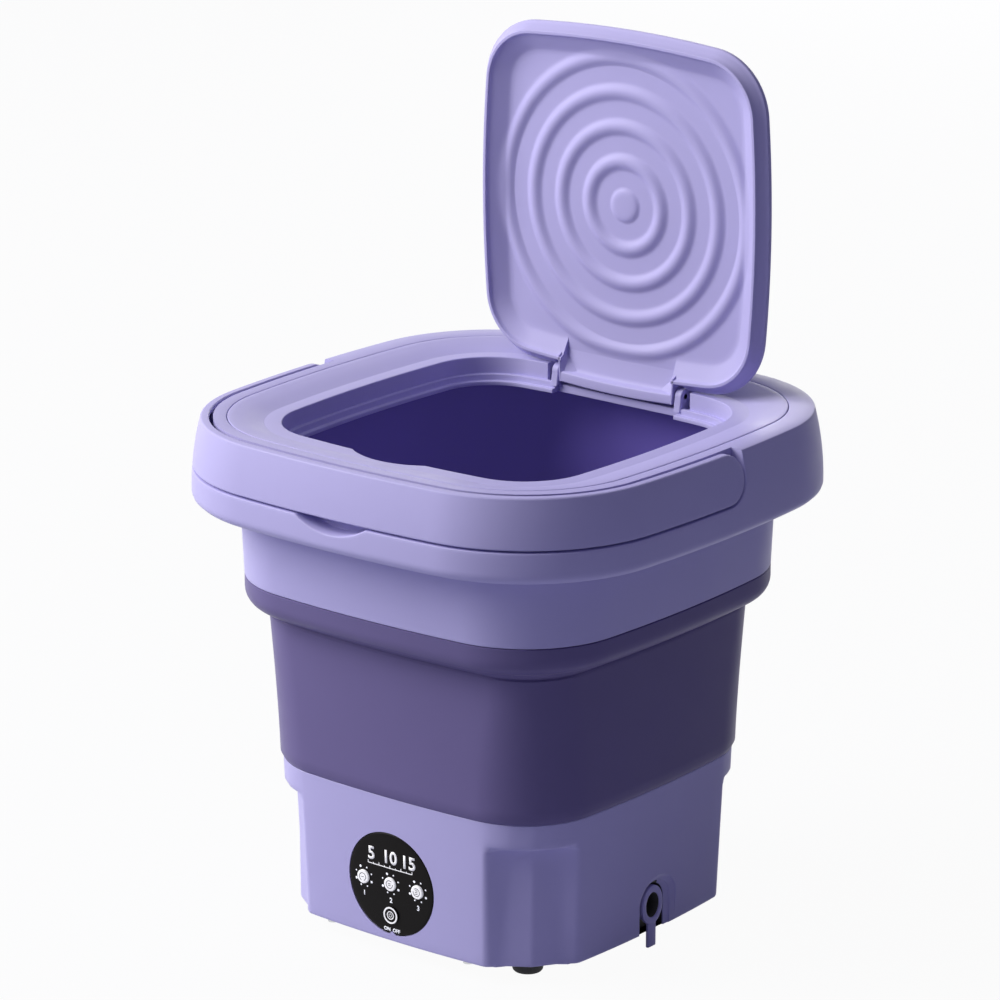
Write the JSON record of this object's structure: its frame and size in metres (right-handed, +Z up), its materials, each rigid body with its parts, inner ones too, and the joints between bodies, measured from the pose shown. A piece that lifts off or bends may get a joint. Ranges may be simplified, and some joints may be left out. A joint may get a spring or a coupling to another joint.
{
  "type": "foldable washing machine",
  "caption": "Portable washing machine whose soft sleeve folds down into its base, with a hinged lid, a bail handle let into the rim, a round control panel and a drain plug.",
  "frame": {"origin": "on the floor under the middle of the base, at the feet's undersides", "axes": "+Z up, -Y towards the control panel, +X towards the drain, +Y towards the lid's hinge"},
  "size_m": [0.3006, 0.3006, 0.4823],
  "materials": {
    "lilac_plastic": "satin moulded",
    "sleeve_rubber": "satin, soft",
    "panel_black": "smooth",
    "button_white": "smooth",
    "lens_light": "clear",
    "foot_rubber": "matte",
    "zinc_steel": "zinc plated",
    "shaft_steel": "ground",
    "bush_bronze": "sintered",
    "housing_metal": "cast",
    "motor_metal": "plated",
    "pulley_plastic": "moulded",
    "belt_rubber": "matte",
    "board_green": "lacquered",
    "inner_plastic": "moulded",
    "lead_sheath": "matte"
  },
  "bodies": {
    "root": {"base_shell": "lilac_plastic", "bearing_housing": "housing_metal", "bottom_cover": "lilac_plastic", "control_board": "board_green", "control_panel": "panel_black", "cover_screws": "zinc_steel", "dc_socket": "inner_plastic", "drain_elbow": "inner_plastic", "drain_spout": "lilac_plastic", "drain_strainer": "lilac_plastic", "drive_belt": "belt_rubber", "foot_back_left": "foot_rubber", "foot_back_right": "foot_rubber", "foot_front_left": "foot_rubber", "foot_front_right": "foot_rubber", "housing_screws": "zinc_steel", "indicator_lenses": "lens_light", "lower_bush": "bush_bronze", "motor_body": "motor_metal", "motor_bracket": "zinc_steel", "motor_lead": "lead_sheath", "motor_screws": "zinc_steel", "panel_housing": "inner_plastic", "power_lead": "lead_sheath", "shaft_seal": "belt_rubber", "sleeve": "sleeve_rubber", "tact_switches": "inner_plastic", "tub_bottom": "lilac_plastic", "upper_bush": "bush_bronze"},
    "upper": {"upper_frame": "lilac_plastic", "rim_shell": "lilac_plastic", "top_cover": "lilac_plastic", "rim_screws": "zinc_steel", "handle_pins": "zinc_steel", "hinge_pins": "zinc_steel"},
    "handle": {"handle": "lilac_plastic"},
    "lid": {"lid": "lilac_plastic"},
    "pulsator_drive": {"pulsator": "lilac_plastic", "pulsator_shaft": "shaft_steel", "driven_pulley": "pulley_plastic", "pulley_nut": "zinc_steel", "pulsator_screw": "zinc_steel", "pulsator_cap": "lilac_plastic"},
    "motor_rotor": {"motor_shaft": "shaft_steel", "motor_pulley": "pulley_plastic"},
    "left_button": {"button_left": "button_white"},
    "middle_button": {"button_middle": "button_white"},
    "right_button": {"button_right": "button_white"},
    "on_off_button": {"power_button": "button_white"},
    "drain_plug": {"drain_plug": "lilac_plastic"}
  },
  "joints": [
    {"name": "collapse", "type": "slide", "parent": "root", "child": "upper", "axis": [0, 0, -1], "range_m": [0, 0.15], "deforming": ["sleeve"]},
    {"name": "lid_hinge", "type": "hinge", "parent": "upper", "child": "lid", "pos_m": [0, 0.1, 0.2818], "axis": [1, 0, 0], "range_deg": [0, 90]},
    {"name": "handle_pivot", "type": "hinge", "parent": "upper", "child": "handle", "pos_m": [0, 0.001, 0.2756], "axis": [-1, 0, 0], "range_deg": [0, 90]},
    {"name": "pulsator_spin", "type": "hinge", "parent": "root", "child": "pulsator_drive", "pos_m": [0, 0, 0.065], "axis": [0, 0, 1], "continuous": true},
    {"name": "motor_spin", "type": "hinge", "parent": "root", "child": "motor_rotor", "pos_m": [-0.058, 0, 0.021], "axis": [0, 0, 1], "continuous": true},
    {"name": "left_button_press", "type": "slide", "parent": "root", "child": "left_button", "axis": [0, 1, 0], "range_m": [0, 0.0008], "stiffness_N_per_m": 800, "springref_m": -0.0005},
    {"name": "middle_button_press", "type": "slide", "parent": "root", "child": "middle_button", "axis": [0, 1, 0], "range_m": [0, 0.0008], "stiffness_N_per_m": 800, "springref_m": -0.0005},
    {"name": "right_button_press", "type": "slide", "parent": "root", "child": "right_button", "axis": [0, 1, 0], "range_m": [0, 0.0008], "stiffness_N_per_m": 800, "springref_m": -0.0005},
    {"name": "on_off_press", "type": "slide", "parent": "root", "child": "on_off_button", "axis": [0, 1, 0], "range_m": [0, 0.0008], "stiffness_N_per_m": 800, "springref_m": -0.0005},
    {"name": "drain_plug_pull", "type": "slide", "parent": "root", "child": "drain_plug", "axis": [1, 0, 0], "range_m": [0, 0.02]}
  ],
  "couplings": [
    {"joint": "motor_spin", "follows": "pulsator_spin", "ratio": 4.7179}
  ]
}
